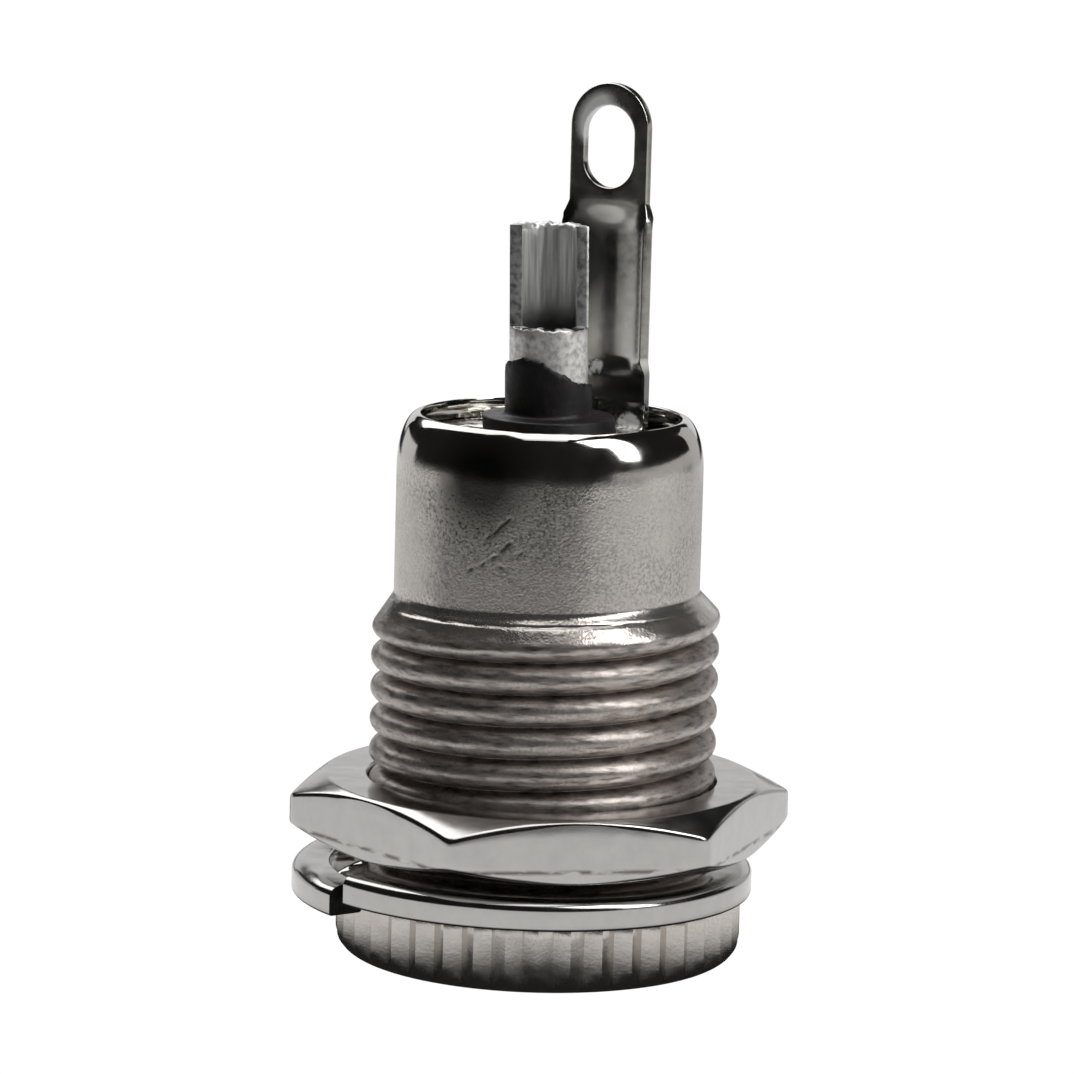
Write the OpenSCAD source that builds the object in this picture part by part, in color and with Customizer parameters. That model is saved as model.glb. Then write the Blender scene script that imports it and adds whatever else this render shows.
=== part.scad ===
// Panel-mount DC barrel jack for 5.5 x 2.1 mm plugs, with its nut and split washer on the neck.
// It stands on its head: z = 0 is the front face, where the plug goes in, and +Z points to the
// solder terminals. Lengths are in millimetres, angles in degrees counted from +X towards +Y.

/* [Head] */
// Diameter over the knurl of the head
head_d = 12.75; // [12:0.05:13.5]
// Height of the head
head_h = 2.1; // [1.7:0.1:3]
// Radius of the rounded front edge
head_edge_r = 0.7; // [0.3:0.05:0.9]
// Number of straight knurl teeth
knurl_teeth = 40; // [24:1:60]
// Depth of the knurl
knurl_depth = 0.3; // [0.1:0.05:0.4]
// Thickness of the front wall that stops the insulator
front_wall = 1.2; // [0.8:0.1:1.5]
// How far the front wall reaches in over the bore
front_stop = 0.7; // [0.4:0.05:0.9]

/* [Thread] */
// Diameter over the thread crests
thread_d = 10.9; // [10.6:0.05:11.2]
// Pitch of the thread
thread_pitch = 1; // [0.9:0.05:1.2]
// Depth of the thread groove
thread_depth = 0.58; // [0.4:0.02:0.6]
// Width of the flat at the bottom of the groove
thread_root_flat = 0.2; // [0.18:0.01:0.26]
// Width of the flat on the rounded crest
thread_crest_flat = 0.24; // [0.2:0.01:0.3]
// Length of the threaded neck behind the head, with its end cone
thread_len = 9.4; // [7:0.1:12]
// Height of the cone from the thread down to the barrel
end_cone_h = 0.85; // [0.5:0.05:1.2]
// Angle at which the groove starts
thread_start = 130; // [0:1:359]

/* [Barrel] */
// Diameter of the plain barrel
barrel_d = 9.57; // [9.3:0.01:9.8]
// Thickness of the barrel wall
barrel_wall = 0.485; // [0.4:0.005:0.6]
// Length of the barrel behind the thread, with its dome
barrel_len = 5.55; // [4:0.05:8]
// Height of the dome that is spun in at the rear
dome_h = 1.65; // [1:0.05:2]
// How far the spun lip reaches in over the bore
lip_over = 0.23; // [0.15:0.01:0.35]
// Thickness of the spun lip at its edge
lip_t = 0.45; // [0.3:0.05:0.6]

/* [Hex nut] */
// Width across the flats
nut_af = 13.84; // [13:0.02:15]
// Height of the nut
nut_h = 2; // [1.6:0.1:3]
// Distance from the back of the head to the nut
nut_lift = 1.5; // [1.4:0.1:5]
// Angle of the chamfer on the nut's corners
nut_chamfer_angle = 25; // [15:1:30]
// How far the chamfer starts inside the flats
nut_chamfer_in = 0.12; // [0.05:0.01:0.4]
// Depth of the countersink at both ends of its thread
nut_countersink = 0.15; // [0.1:0.05:0.4]
// Angle to which the nut is turned
nut_turn = 9.5; // [0:0.5:60]

/* [Lock washer] */
// How much wider the washer is than the nut across its flats
washer_over = 0.46; // [0:0.02:1]
// Radial play of its hole round the thread
washer_play = 0.5; // [0.3:0.05:0.6]
// Thickness
washer_t = 0.95; // [0.8:0.05:1]
// Radius of its rounded upper edges
washer_round = 0.32; // [0.15:0.01:0.4]
// Radius of its lower edges
washer_edge_r = 0.1; // [0.05:0.01:0.2]
// Direction of the slit
washer_slit_angle = 217; // [0:1:359]
// Width of the slit
washer_slit_w = 0.45; // [0.2:0.05:1]
// Height of the sprung end above the head
washer_lift = 0.18; // [0.1:0.02:0.4]

/* [Insulator] */
// Diameter of the cavity for the plug
plug_bore_d = 5.8; // [5.6:0.05:6]
// Depth of the cavity
plug_depth = 10; // [9:0.1:10.5]
// Length of the insulator behind the front wall
insulator_len = 12.2; // [11.8:0.1:13]
// How far its nose lies behind the front face
nose_recess = 0.2; // [0.1:0.05:0.5]
// Chamfer at the mouth of the cavity
mouth_chamfer = 0.3; // [0.1:0.05:0.4]

/* [Rear bush] */
// Diameter of the hub round the centre pin
hub_d = 4.15; // [3.8:0.05:4.4]
// How far the hub stands out of the rear rim
hub_rise = 0; // [-0.2:0.02:0.4]
// Diameter of the collar that grips the pin
collar_d = 2.72; // [2.6:0.02:3]
// Mean height of the collar's ragged end above the hub
collar_h = 1.25; // [0.9:0.05:2]
// Height of the torn peak on the collar
collar_peak = 0.3; // [0:0.05:0.6]

/* [Centre pin] */
// Diameter of the contact pin
pin_d = 2; // [1.9:0.05:2.1]
// Diameter of the part of it that is pressed into the insulator
grip_d = 2.6; // [2.5:0.05:3]
// How far the pin's tip lies behind the front face
pin_recess = 1; // [0.5:0.1:2]
// Diameter of the tail
tail_d = 2.45; // [2.3:0.05:2.6]
// How far the tail stands out of the rear rim
tail_rise = 5.9; // [4.5:0.1:8]
// Diameter of the flange held between insulator and bush
flange_d = 3.8; // [3.2:0.1:4.4]
// Thickness of that flange
flange_t = 0.8; // [0.5:0.05:1.1]
// Diameter of the solder cup's bore
cup_bore_d = 1.66; // [1.4:0.02:1.8]
// Depth of the solder cup's bore
cup_depth = 4.05; // [3.3:0.05:4.3]
// Length over which the front half of the cup is cut away
cup_open_len = 3.12; // [2:0.02:3.2]

/* [Solder lug] */
// Thickness of the sheet
sheet_t = 0.35; // [0.25:0.01:0.4]
// Direction in which the lug stands
lug_angle = 60; // [0:1:359]
// Width of the lug's trough
lug_w = 3.1; // [2.8:0.05:3.3]
// Gap between the lug's corners and the rear opening
lug_gap = 0.26; // [0.2:0.01:0.5]
// Radius to which the trough is rolled
trough_r = 2.6; // [2:0.1:6]
// How far the trough's lower end stands out of the rear rim
trough_rise = 1.3; // [0.8:0.05:1.6]
// Height over which the trough fades into the flat sheet
trough_blend = 0.7; // [0.4:0.05:1]
// How far the shoulders stand out of the rear rim
shoulder_rise = 6; // [5:0.1:7]
// How far the lug stands out of the rear rim
lug_rise = 10.15; // [9.5:0.05:13]
// Width of the flat eye
eye_w = 2.75; // [2.5:0.05:2.8]
// Width of the slot in the eye
slot_w = 1.8; // [1.4:0.05:1.9]
// Length of the slot
slot_len = 2.6; // [2:0.05:2.8]
// Metal left over the slot
slot_edge = 0.7; // [0.4:0.05:0.9]
// Inner radius of the bend at the foot
bend_r = 0.25; // [0.1:0.05:0.4]

/* [Sleeve spring] */
// Width of the leaf
spring_w = 2.2; // [1.6:0.1:2.6]
// Thickness of the leaf
spring_t = 0.25; // [0.15:0.01:0.3]
// Direction in which the leaf lies
spring_angle = 240; // [120:1:300]
// Height of the leaf's tip above the front face
spring_tip_z = 2.9; // [2.6:0.1:4]
// Length of its bow
spring_bow_len = 7.6; // [6:0.1:8]
// How far the bow reaches into the cavity
spring_reach = 0.25; // [0.1:0.05:0.4]
// Length of its foot under the ring
spring_foot = 1.1; // [0.8:0.05:1.3]

/* [Fits] */
// Gap between a nested piece and what holds it
seat_gap = 0.02; // [0.01:0.005:0.05]
// Radial gap between the threads of nut and neck
thread_gap = 0.05; // [0.04:0.01:0.08]
// Side gap of the leaf in its channel
channel_gap = 0.1; // [0.05:0.01:0.2]
// Room between the leaf's tip and the end of its channel
tip_room = 0.3; // [0.2:0.05:0.5]

/* [Hidden] */
$fn = 96;
thread_steps = 36;
washer_steps = 60;
sheet_steps = 10;
blend_steps = 6;
leaf_steps = 20;
ragged_steps = 30;
arc_steps = 5;
shoulder_h = 0.4;
bite = 0.1;

// Share of a pitch before the groove starts, and of one over which it runs out
lead_share = 0.6;
runout_share = 0.5;
// Quarter arc from the groove's bottom to the rounded crest
crest_arc = [0, 30, 60, 90];
// Share of the washer's turn over which its sprung end comes down to the head
sprung_share = 0.4;
// Bend radius of the leaf as a share of its thickness, and how far round its bow runs
fold_share = 0.75;
bow_turn = 290;
// Waves of the collar's torn end, as [height, number, phase], and the direction of its peak
torn_waves = [[0.4, 1, -215], [0.05, 5, 40], [0.03, 11, 0]];
peak_angle = 246;
peak_sharpness = 8;

// Shell
head_r = head_d / 2;
thread_r = thread_d / 2;
thread_root_r = thread_r - thread_depth;
thread_z = head_h + thread_len;
barrel_r = barrel_d / 2;
bore_r = barrel_r - barrel_wall;
lip_r = bore_r - lip_over;
shell_len = thread_z + barrel_len;
seat_z = shell_len - lip_t - lip_over;
groove_z = head_h + lead_share * thread_pitch;
nut_z = head_h + nut_lift;

// Stack inside the shell, from the front wall to the spun lip
ring_top_z = seat_z - seat_gap;
ring_z = ring_top_z - sheet_t;
bush_z = front_wall + insulator_len;
nest_r = bore_r - seat_gap;
nose_r = bore_r - front_stop;
cavity_floor_z = nose_recess + plug_depth;
leaf_x = sqrt(pow(bore_r, 2) - pow(spring_w / 2, 2)) - spring_t / 2 - seat_gap;
hub_z = shell_len + hub_rise;
hub_r = hub_d / 2;
tail_r = tail_d / 2;
tail_z = shell_len + tail_rise;

// Lug: its corners clear the rear opening by lug_gap
lug_x = sqrt(pow(lip_r - lug_gap, 2) - pow(lug_w / 2, 2)) - sheet_t / 2;
bend_z = ring_top_z + bend_r;
shoulder_z = shell_len + shoulder_rise;
lug_z = shell_len + lug_rise;
trough_z0 = shell_len + trough_rise;
eye_z = shoulder_z + shoulder_h;
trough_z1 = eye_z - trough_blend;

// One flank of the groove as [radius, half width]: its crest is rounded to a quarter of an ellipse
groove_flank = [for (a = crest_arc)
    [thread_root_r + thread_depth * sin(a), thread_root_flat / 2
        + (thread_pitch - thread_crest_flat - thread_root_flat) / 2 * (1 - cos(a))]];

// Angle at which the groove's middle passes height z
function groove_angle(z) = thread_start + 360 * (z - groove_z) / thread_pitch;

// Smooth step from 0 to 1
function ease(t) = let (u = min(1, max(0, t))) u * u * (3 - 2 * u);

// Faces that join a stack of rings of n points each. Both ends are capped by strips between a
// ring's first and second half, so n is even.
function skin_faces(n, rings) = concat(
    [for (j = [0:n / 2 - 2])
        each [[n - 1 - j, n - 2 - j, j + 1], [n - 1 - j, j + 1, j]]],
    [for (i = [0:rings - 2], j = [0:n - 1])
        let (a = i * n + j, b = i * n + (j + 1) % n)
        each [[a, b, b + n], [a, b + n, a + n]]],
    [for (j = [0:n / 2 - 2])
        let (k = (rings - 1) * n)
        each [[k + j, k + j + 1, k + n - 2 - j], [k + j, k + n - 2 - j, k + n - 1 - j]]]);

// Points of an arc in the drawing plane
function arc(centre, r, a0, a1, steps) = [for (i = [0:steps])
    let (a = a0 + (a1 - a0) * i / steps)
    centre + r * [cos(a), sin(a)]];

// A section of [radius, height] points that climbs along the thread, from height z0 to z1, and
// moves out by lift where it runs out
module helix(section, z0, z1, lift = 0) {
    steps = ceil((z1 - z0) / thread_pitch * thread_steps);
    runout = runout_share * thread_pitch;
    points = [for (i = [0:steps], p = section)
        let (z = z0 + i * thread_pitch / thread_steps,
            a = groove_angle(z),
            r = p[0] + lift * ease((z - z1 + runout) / runout))
        [r * cos(a), r * sin(a), z + p[1]]];
    polyhedron(points, skin_faces(len(section), steps + 1), convexity = 8);
}

// An outline of [distance from the axis, height], made w wide and turned to an angle
module upright(angle, w) {
    rotate([0, 0, angle]) rotate([90, 0, 0]) linear_extrude(height = w, center = true) children();
}

module head() {
    tooth = 360 / knurl_teeth;
    outline = [for (i = [0:knurl_teeth - 1])
        each [head_r * [cos(i * tooth), sin(i * tooth)],
            (head_r - knurl_depth) * [cos((i + 0.5) * tooth), sin((i + 0.5) * tooth)]]];
    intersection() {
        linear_extrude(height = head_h) polygon(outline);
        rotate_extrude() polygon(concat(
            [[0, 0]],
            arc([head_r - head_edge_r, head_edge_r], head_edge_r, -90, 0, arc_steps * 2),
            [[head_r, head_h], [0, head_h]]));
    }
}

// Neck, barrel and dome, as one turned outline
module turned_body() {
    dome_z = shell_len - dome_h;
    rotate_extrude() polygon(concat(
        [[0, head_h - bite], [thread_r, head_h - bite], [thread_r, thread_z - end_cone_h],
            [barrel_r, thread_z]],
        [for (i = [0:2 * arc_steps])
            let (a = i * 90 / (2 * arc_steps))
            [lip_r + (barrel_r - lip_r) * cos(a), dome_z + dome_h * sin(a)]],
        [[0, shell_len]]));
}

module shell() {
    // The groove's last faces run on past the crest, so that no corner lies on the neck
    last = len(groove_flank) - 1;
    crest = groove_flank[last];
    below = groove_flank[last - 1];
    mouth = crest + (crest - below) * bite / 2 / (crest[0] - below[0]);
    side = concat([for (i = [0:last - 1]) groove_flank[i]], [mouth]);
    groove = concat(
        [for (p = side) [p[0], -p[1]]],
        [for (i = [last:-1:0]) side[i]]);
    color("silver") difference() {
        union() {
            head();
            difference() {
                turned_body();
                helix(groove, groove_z, thread_z - end_cone_h, thread_depth + bite);
            }
        }
        rotate_extrude() polygon([[0, -bite], [nose_r, -bite], [nose_r, front_wall],
            [bore_r, front_wall], [bore_r, seat_z], [lip_r, seat_z + lip_over],
            [lip_r, shell_len + bite], [0, shell_len + bite]]);
    }
}

module hex_nut() {
    corner_r = nut_af / 2 / cos(30);
    face_r = nut_af / 2 - nut_chamfer_in;
    blank_r = corner_r + bite;
    drop = (blank_r - face_r) * tan(nut_chamfer_angle);
    minor_r = thread_root_r + 2 * thread_gap;
    sink_r = thread_r + 2 * thread_gap;
    last = len(groove_flank) - 1;
    side = [for (p = groove_flank) [p[0] + thread_gap, thread_pitch / 2 - p[1] + thread_gap]];
    ridge = concat(
        [for (p = side) [p[0], -p[1]]],
        [for (i = [last:-1:0]) side[i]]);
    color("gainsboro") difference() {
        intersection() {
            rotate([0, 0, nut_turn]) translate([0, 0, nut_z]) cylinder(h = nut_h, r = corner_r, $fn = 6);
            rotate_extrude() polygon([[0, nut_z], [face_r, nut_z], [blank_r, nut_z + drop],
                [blank_r, nut_z + nut_h - drop], [face_r, nut_z + nut_h], [0, nut_z + nut_h]]);
        }
        translate([0, 0, nut_z - bite]) cylinder(h = nut_h + 2 * bite, r = minor_r);
        for (z = [nut_z, nut_z + nut_h]) translate([0, 0, z]) rotate_extrude() polygon([
            [0, -nut_countersink], [sink_r - nut_countersink, -nut_countersink], [sink_r, 0],
            [sink_r - nut_countersink, nut_countersink], [0, nut_countersink]]);
        translate([0, 0, thread_pitch / 2])
            helix(ridge, nut_z - thread_pitch * 1.5, nut_z + nut_h + thread_pitch / 2);
    }
}

// A flat ring, cut through, with one end sprung up off the head
module lock_washer() {
    in_r = thread_r + washer_play;
    out_r = (nut_af + washer_over) / 2;
    shift = washer_play - thread_gap;
    e = washer_edge_r;
    top = washer_round;
    section = concat(
        arc([in_r + e, e], e, 180, 270, 1), arc([out_r - e, e], e, -90, 0, 1),
        arc([out_r - top, washer_t - top], top, 0, 90, 4),
        arc([in_r + e, washer_t - e], e, 90, 180, 2));
    half_slit = asin(washer_slit_w / 2 / out_r);
    points = [for (i = [0:washer_steps], p = section)
        let (t = i / washer_steps, a = washer_slit_angle + half_slit + t * (360 - 2 * half_slit))
        [p[0] * cos(a) - shift, p[0] * sin(a),
            head_h + p[1] + washer_lift * (1 - ease(t / sprung_share))]];
    color("silver") polyhedron(points, skin_faces(len(section), washer_steps + 1), convexity = 4);
}

// Channel for the leaf, from height z0 to z1
module leaf_channel(z0, z1, inner_r) {
    rotate([0, 0, spring_angle]) translate([inner_r, -spring_w / 2 - channel_gap, z0])
        cube([bore_r, spring_w + 2 * channel_gap, z1 - z0]);
}

module insulator() {
    plug_r = plug_bore_d / 2;
    grip_r = grip_d / 2 + seat_gap;
    recess_z = bush_z - flange_t - seat_gap;
    channel_r = sqrt(pow(plug_r, 2) - pow(spring_w / 2 + channel_gap, 2)) - bite;
    color("dimgray") difference() {
        rotate_extrude() polygon([[plug_r + mouth_chamfer, nose_recess], [nose_r - seat_gap, nose_recess],
            [nose_r - seat_gap, front_wall], [nest_r, front_wall], [nest_r, bush_z],
            [flange_d / 2 + seat_gap, bush_z], [flange_d / 2 + seat_gap, recess_z],
            [grip_r, recess_z], [grip_r, cavity_floor_z], [plug_r, cavity_floor_z],
            [plug_r, nose_recess + mouth_chamfer]]);
        leaf_channel(spring_tip_z - tip_room, bush_z + bite, channel_r);
    }
}

// Height of the collar's torn end at an angle
function ragged(a) =
    let (torn = [for (w = torn_waves) w[0] * cos(w[1] * a + w[2])])
    hub_z + collar_h + torn * [for (w = torn_waves) 1]
        + collar_peak * pow(max(0, cos(a - peak_angle)), peak_sharpness);

module ragged_collar() {
    ring = [for (i = [0:ragged_steps - 1]) i * 360 / ragged_steps];
    foot_z = hub_z - 2 * bite;
    points = concat(
        [for (a = ring) [collar_d * cos(a), collar_d * sin(a), foot_z]],
        [for (a = ring) [collar_d * cos(a), collar_d * sin(a), ragged(a)]],
        [[0, 0, foot_z], [0, 0, hub_z + collar_h]]);
    n = ragged_steps;
    faces = [for (i = [0:n - 1])
        let (j = (i + 1) % n)
        each [[i, n + i, n + j], [i, n + j, j], [2 * n, i, j], [2 * n + 1, n + j, n + i]]];
    intersection() {
        polyhedron(points, faces, convexity = 4);
        translate([0, 0, foot_z]) cylinder(h = 3 * collar_h, r = collar_d / 2);
    }
}

module rear_bush() {
    foot_r = 0.15;
    pocket_z = ring_z - spring_t - seat_gap;
    leaf_r = leaf_x - spring_t / 2 - channel_gap;
    color("#26211f") difference() {
        union() {
            rotate_extrude() polygon([[0, bush_z], [nest_r, bush_z], [nest_r, ring_z],
                [hub_r, ring_z], [hub_r, hub_z], [collar_d / 2 + foot_r, hub_z],
                [collar_d / 2, hub_z + foot_r], [0, hub_z + foot_r]]);
            ragged_collar();
        }
        translate([0, 0, bush_z - bite]) cylinder(h = tail_z - bush_z, r = tail_r + seat_gap);
        leaf_channel(bush_z - bite, ring_z + bite, leaf_r);
        leaf_channel(pocket_z, ring_z + bite, leaf_x - spring_foot - seat_gap);
    }
}

module centre_pin() {
    pin_r = pin_d / 2;
    flange_z = bush_z - flange_t;
    cup_z = tail_z - cup_depth;
    cup_r = cup_bore_d / 2;
    rim = 0.12;
    color("lightgray") difference() {
        rotate_extrude() polygon(concat(
            [[0, pin_recess]],
            arc([0, pin_recess + pin_r], pin_r, -90, 0, arc_steps * 2),
            [[pin_r, cavity_floor_z], [grip_d / 2, cavity_floor_z], [grip_d / 2, flange_z],
                [flange_d / 2, flange_z],
                [flange_d / 2, bush_z], [tail_r, bush_z], [tail_r, tail_z], [0, tail_z]]));
        translate([0, 0, cup_z]) cylinder(h = cup_depth + bite, r = cup_r);
        translate([0, 0, tail_z - rim]) cylinder(h = 2 * rim, r1 = cup_r, r2 = cup_r + 2 * rim);
        translate([-tail_d, -2 * tail_d, tail_z - cup_open_len])
            cube([2 * tail_d, 2 * tail_d, cup_open_len + bite]);
    }
}

// Section of the lug's sheet at height z, rolled by a share of the trough
function lug_section(z) =
    let (roll = ease((z - trough_z0 + trough_blend) / trough_blend) * ease((eye_z - z) / trough_blend),
        sag = trough_r - sqrt(pow(trough_r, 2) - pow(lug_w / 2, 2)),
        mid = [for (j = [0:sheet_steps])
            let (y = lug_w * (j / sheet_steps - 0.5), a = asin(y / trough_r))
            [lug_x + roll * (sag / 2 - trough_r * (1 - cos(a))), y, roll * a]])
    concat(
        [for (j = [0:sheet_steps]) let (m = mid[j])
            [m[0] - sheet_t / 2 * cos(m[2]), m[1] - sheet_t / 2 * sin(m[2]), z]],
        [for (j = [sheet_steps:-1:0]) let (m = mid[j])
            [m[0] + sheet_t / 2 * cos(m[2]), m[1] + sheet_t / 2 * sin(m[2]), z]]);

module lug() {
    levels = concat([bend_z],
        [for (i = [0:blend_steps]) trough_z0 + trough_blend * (i / blend_steps - 1)],
        [for (i = [0:blend_steps]) trough_z1 + trough_blend * i / blend_steps]);
    eye_r = eye_w / 2;
    slot_r = slot_w / 2;
    slot_top = lug_z - slot_edge - slot_r;
    slot_bottom = slot_top - slot_len + slot_w;
    intersection() {
        union() {
            polyhedron([for (z = levels) each lug_section(z)],
                skin_faces(2 * sheet_steps + 2, len(levels)), convexity = 4);
            translate([lug_x - sheet_t / 2, -lug_w / 2, eye_z]) cube([sheet_t, lug_w, lug_z - eye_z]);
        }
        translate([lug_x - trough_r, 0, 0]) rotate([90, 0, 90]) linear_extrude(height = 2 * trough_r)
            difference() {
                union() {
                    translate([-lug_w, bend_z - bite]) square([2 * lug_w, shoulder_z - bend_z + bite]);
                    polygon([[-lug_w / 2, shoulder_z - bite], [lug_w / 2, shoulder_z - bite],
                        [lug_w / 2, shoulder_z], [eye_r, eye_z], [-eye_r, eye_z], [-lug_w / 2, shoulder_z]]);
                    translate([-eye_r, shoulder_z]) square([eye_w, lug_z - eye_r - shoulder_z]);
                    translate([0, lug_z - eye_r]) circle(r = eye_r);
                }
                translate([0, slot_top]) circle(r = slot_r);
                translate([0, slot_bottom]) circle(r = slot_r);
                translate([-slot_r, slot_bottom]) square([slot_w, slot_top - slot_bottom]);
            }
    }
}

module lug_terminal() {
    inner_x = lug_x - sheet_t / 2 - bend_r;
    relief = 0.1;
    color("silver") rotate([0, 0, lug_angle]) {
        difference() {
            translate([0, 0, ring_z]) cylinder(h = sheet_t, r = bore_r - 2 * seat_gap);
            translate([0, 0, ring_z - bite]) cylinder(h = sheet_t + 2 * bite, r = hub_r + seat_gap);
            translate([inner_x, -lug_w / 2 - relief, ring_z - bite])
                cube([bore_r, lug_w + 2 * relief, sheet_t + 2 * bite]);
        }
        translate([inner_x, lug_w / 2, bend_z]) rotate([90, 0, 0])
            rotate_extrude(angle = 90, start = -90)
                translate([bend_r, 0]) square([sheet_t, lug_w]);
        lug();
    }
}

// Centre line of the leaf: foot, bend, straight run, and the bow that presses on the plug
function leaf_line() =
    let (x = leaf_x,
        z = ring_z - spring_t / 2,
        r = fold_share * spring_t,
        bow = x - (plug_bore_d / 2 - spring_reach) - spring_t / 2,
        top = spring_tip_z + spring_bow_len)
    concat(
        [[x - spring_foot, z]],
        arc([x - r, z - r], r, 90, 0, arc_steps),
        [for (i = [0:leaf_steps])
            let (t = i / leaf_steps)
            [x - bow * (0.5 - 0.5 * cos(bow_turn * t)), top - spring_bow_len * t]]);

// Direction square to the line at its point i
function square_to(line, i) =
    let (d = line[min(i + 1, len(line) - 1)] - line[max(i - 1, 0)])
    [-d[1], d[0]] / norm(d);

module sleeve_spring() {
    line = leaf_line();
    last = len(line) - 1;
    color("goldenrod") upright(spring_angle, spring_w) polygon(concat(
        [for (i = [0:last]) line[i] + spring_t / 2 * square_to(line, i)],
        [for (i = [last:-1:0]) line[i] - spring_t / 2 * square_to(line, i)]));
}

shell();
hex_nut();
lock_washer();
insulator();
rear_bush();
centre_pin();
lug_terminal();
sleeve_spring();
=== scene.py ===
# Looks of the panel-mount DC barrel jack. Lengths below are in millimetres and scaled by MM.
import math
import random

import bpy
import bmesh
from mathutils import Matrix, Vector
from mathutils.geometry import delaunay_2d_cdt

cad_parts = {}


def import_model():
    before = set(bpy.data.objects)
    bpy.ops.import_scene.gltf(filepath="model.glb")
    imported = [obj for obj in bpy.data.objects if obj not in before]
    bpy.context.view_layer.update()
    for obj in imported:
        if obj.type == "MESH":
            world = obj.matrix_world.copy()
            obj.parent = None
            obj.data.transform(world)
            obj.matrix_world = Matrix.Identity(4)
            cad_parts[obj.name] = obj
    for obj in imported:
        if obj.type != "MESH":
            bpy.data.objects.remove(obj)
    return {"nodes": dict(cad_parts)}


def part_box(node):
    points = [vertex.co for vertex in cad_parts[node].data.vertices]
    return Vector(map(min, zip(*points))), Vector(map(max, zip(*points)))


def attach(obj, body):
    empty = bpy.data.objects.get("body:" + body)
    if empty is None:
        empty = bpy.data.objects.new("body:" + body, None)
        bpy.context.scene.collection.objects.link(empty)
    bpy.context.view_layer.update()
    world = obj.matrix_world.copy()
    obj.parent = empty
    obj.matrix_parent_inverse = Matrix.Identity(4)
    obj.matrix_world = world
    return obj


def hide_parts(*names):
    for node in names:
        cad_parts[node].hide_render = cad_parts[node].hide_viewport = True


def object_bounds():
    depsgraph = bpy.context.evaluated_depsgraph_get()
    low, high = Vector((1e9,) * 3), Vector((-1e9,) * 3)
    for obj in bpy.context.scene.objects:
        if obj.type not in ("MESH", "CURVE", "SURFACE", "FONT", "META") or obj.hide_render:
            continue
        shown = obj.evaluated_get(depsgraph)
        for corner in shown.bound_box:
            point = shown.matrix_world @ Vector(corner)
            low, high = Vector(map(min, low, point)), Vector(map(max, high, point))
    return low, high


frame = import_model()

cad_low, cad_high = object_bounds()

MM = 0.001
PI = math.pi
TAU = 2 * math.pi


# ---------------------------------------- sizes from the frame
def node_box(name):
    """Lowest and highest corner of a CAD node, in millimetres."""
    low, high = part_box(name)
    return Vector(low) / MM, Vector(high) / MM


shell_high = node_box("shell")[1]
nut_low, nut_high = node_box("hex_nut")
pin_low, pin_high = node_box("centre_pin")

HEAD_R = shell_high.x
RIM_Z = shell_high.z
HEAD_H = node_box("lock_washer")[0].z
NUT_Z0 = nut_low.z
NUT_Z1 = nut_high.z
BUSH_Z = node_box("rear_bush")[0].z
PIN_Z = pin_low.z
TAIL_Z = pin_high.z
LUG_Z = node_box("lug_terminal")[1].z

# Gap between pieces that are pressed or screwed together
SEAT_GAP = 0.02

# Head
HEAD_EDGE_R = 0.7
KNURL_TEETH = 40
KNURL_DEPTH = 0.3
FRONT_WALL = 1.2
NOSE_R = 3.6
# An extra ring on the flat faces of head and nut
FLAT_R = 5.9

# Thread, from the height and the angle at which its groove starts to the end cone
THREAD_R = 5.45
THREAD_DEPTH = 0.58
PITCH = 1.0
GROOVE_Z = HEAD_H + 0.6 * PITCH
GROOVE_START = math.radians(130)
BARREL_LEN = 5.55
THREAD_Z = RIM_Z - BARREL_LEN
END_CONE_H = 0.85
# The groove runs out over this height, and starts to do so this far below the cone
RUNOUT_H = 0.4
RUNOUT_LEAD = 0.2
# Here the rows of the mesh stop climbing with the thread
LEVEL_Z = THREAD_Z - 0.55

# End cone: its foot lies aslant, its edges are rounded, and a tool has marked it
FOOT_SLANT = 0.14
STEEPER = 0.2
CREST_ROUND = 0.1
FOOT_ROUND = 0.09
MARK_DEPTH = 0.04
MARK_W = 0.035
MARK_DROP = 0.28

# Barrel and lip
BARREL_R = 4.785
BORE_R = 4.3
LIP_R = 4.07
LIP_T = 0.45
DOME_H = 1.65
SEAT_Z = RIM_Z - LIP_T - (BORE_R - LIP_R)

# Nut and washer
NUT_AF = 13.84
NUT_TURN = math.radians(9.5)
NUT_CHAMFER = math.radians(25)
NUT_FACE_R = NUT_AF / 2 - 0.12
NUT_CORNER = 0.016
NUT_FACE_EDGE = 0.05
NUT_SIDE_EDGE = 0.13
WASHER_R = 7.15
WASHER_PLAY = 0.5
WASHER_HOLE_R = THREAD_R + WASHER_PLAY
WASHER_SHIFT = 0.45
WASHER_T = 0.95
WASHER_EDGE = 0.1
WASHER_HOLE_EDGE = 0.12
# Its rounded outer edge is a quarter of an ellipse: width and height
WASHER_ROUND = (0.5, 0.32)
# One end is sprung up; the other dips and stands out
WASHER_LIFT = 0.18
WASHER_DIP = 0.24
WASHER_OUT = 0.19
SLIT_ANGLE = math.radians(217)
SLIT_W = 0.45

# Terminals
SHEET_T = 0.35
HUB_R = 2.075
HUB_Z = RIM_Z
COLLAR_R = 1.36
COLLAR_H = 1.25
COLLAR_FOOT = 0.16
PIN_R = 1.0
GRIP_R = 1.1
FLANGE_R = 1.9
FLANGE_T = 0.8
CAVITY_Z = 10.2
TAIL_R = 1.225
CUP_R = 0.83
CUP_DEPTH = 4.05
CUP_OPEN = 3.12
LUG_ANGLE = math.radians(60)
LUG_W = 3.1
LUG_X = 3.3
EYE_R = 1.375
SLOT_R = 0.9
SLOT_LEN = 2.6
SLOT_EDGE = 0.7
TROUGH_R = 2.6
BEND_R = 0.25
# The tail and its collar stand a little aside, and lean
TAIL_ASIDE = 0.1
TAIL_LEAN = 0.022


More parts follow.
